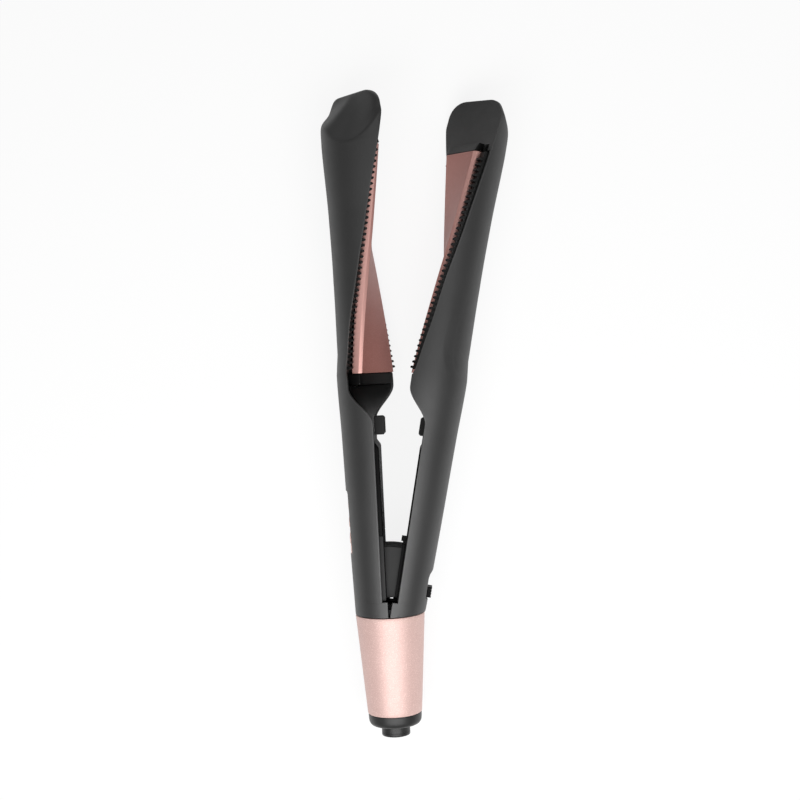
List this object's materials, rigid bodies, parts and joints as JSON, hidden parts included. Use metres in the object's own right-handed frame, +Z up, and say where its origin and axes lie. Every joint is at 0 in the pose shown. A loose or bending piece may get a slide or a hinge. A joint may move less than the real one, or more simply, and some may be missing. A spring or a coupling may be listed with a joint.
{
  "type": "hair straightener",
  "caption": "Hair straightener with sprung arms open in a V, twisted floating heating plates, comb strips, a key panel, a slide lock and a swivelling cord collar on a tapered tail.",
  "frame": {"origin": "centre of the footprint, on the surface that the open straightener lies on", "axes": "+Y along the tail and the left arm towards the tips, +X from the left arm towards the right arm, +Z up, square to the plane in which the arms open"},
  "size_m": [0.0857, 0.2928, 0.0411],
  "materials": {
    "graphite_shell": "fine matt lacquer",
    "black_polymer": "satin black",
    "rose_coating": "pearly rose metallic",
    "rose_plate": "smooth rose ceramic coating on aluminium",
    "silicone": "silicone",
    "ceramic": "fired ceramic",
    "steel": "plain",
    "brass_contact": "bright",
    "circuit_board": "solder mask",
    "clear_lens": "clear",
    "glass_fibre_lead": "woven sleeve"
  },
  "bodies": {
    "left_arm": {"left_outer_shell": "graphite_shell", "left_inner_cover": "black_polymer", "left_cover_screws": "steel", "left_guide_block": "graphite_shell", "left_carrier": "black_polymer", "left_near_comb": "black_polymer", "left_far_comb": "black_polymer", "left_stop_pads": "silicone", "left_heater_leads": "glass_fibre_lead", "hinge_web": "graphite_shell", "left_frame": "black_polymer", "hinge_pin": "steel", "opening_spring": "steel", "control_panel": "rose_coating", "indicator_lens": "clear_lens", "switches": "black_polymer", "control_board": "circuit_board", "tail_sleeve": "rose_coating", "end_cap": "graphite_shell"},
    "right_arm": {"right_outer_shell": "graphite_shell", "right_inner_cover": "black_polymer", "right_cover_screws": "steel", "right_guide_block": "graphite_shell", "right_carrier": "black_polymer", "right_near_comb": "black_polymer", "right_far_comb": "black_polymer", "right_stop_pads": "silicone", "right_heater_leads": "glass_fibre_lead", "slot_frame": "black_polymer", "right_frame": "black_polymer", "right_spine": "black_polymer"},
    "left_plate": {"left_heating_plate": "rose_plate", "left_heater": "ceramic"},
    "right_plate": {"right_heating_plate": "rose_plate", "right_heater": "ceramic"},
    "power_key": {"power_button": "rose_coating"},
    "minus_key": {"minus_button": "rose_coating"},
    "plus_key": {"plus_button": "rose_coating"},
    "lock": {"lock_slider": "black_polymer"},
    "cord_swivel": {"swivel_collar": "graphite_shell", "contact_rings": "brass_contact"}
  },
  "joints": [
    {"name": "arm_hinge", "type": "hinge", "parent": "left_arm", "child": "right_arm", "pos_m": [-0.02171, -0.0904, 0.02056], "axis": [0, 0, 1], "range_deg": [0, 11.4], "stiffness_Nm_per_rad": 1.5, "springref_deg": -8.59},
    {"name": "left_plate_float", "type": "slide", "parent": "left_arm", "child": "left_plate", "axis": [-0.9991, 0, -0.0427], "range_m": [0, 0.0008], "stiffness_N_per_m": 4000, "springref_m": -0.001},
    {"name": "right_plate_float", "type": "slide", "parent": "right_arm", "child": "right_plate", "axis": [0.9794, -0.1975, 0.0427], "range_m": [0, 0.0008], "stiffness_N_per_m": 4000, "springref_m": -0.001},
    {"name": "power_key_press", "type": "slide", "parent": "left_arm", "child": "power_key", "axis": [1, 0, 0], "range_m": [0, 0.0005], "stiffness_N_per_m": 1500, "springref_m": -0.0007},
    {"name": "minus_key_press", "type": "slide", "parent": "left_arm", "child": "minus_key", "axis": [1, 0, 0], "range_m": [0, 0.0005], "stiffness_N_per_m": 1500, "springref_m": -0.0007},
    {"name": "plus_key_press", "type": "slide", "parent": "left_arm", "child": "plus_key", "axis": [1, 0, 0], "range_m": [0, 0.0005], "stiffness_N_per_m": 1500, "springref_m": -0.0007},
    {"name": "lock_slide", "type": "slide", "parent": "right_arm", "child": "lock", "axis": [0.1977, 0.9803, 0], "range_m": [0, 0.004]},
    {"name": "cord_swivel_turn", "type": "hinge", "parent": "left_arm", "child": "cord_swivel", "pos_m": [-0.02171, -0.1414, 0.02056], "axis": [0, -1, 0], "continuous": true}
  ]
}
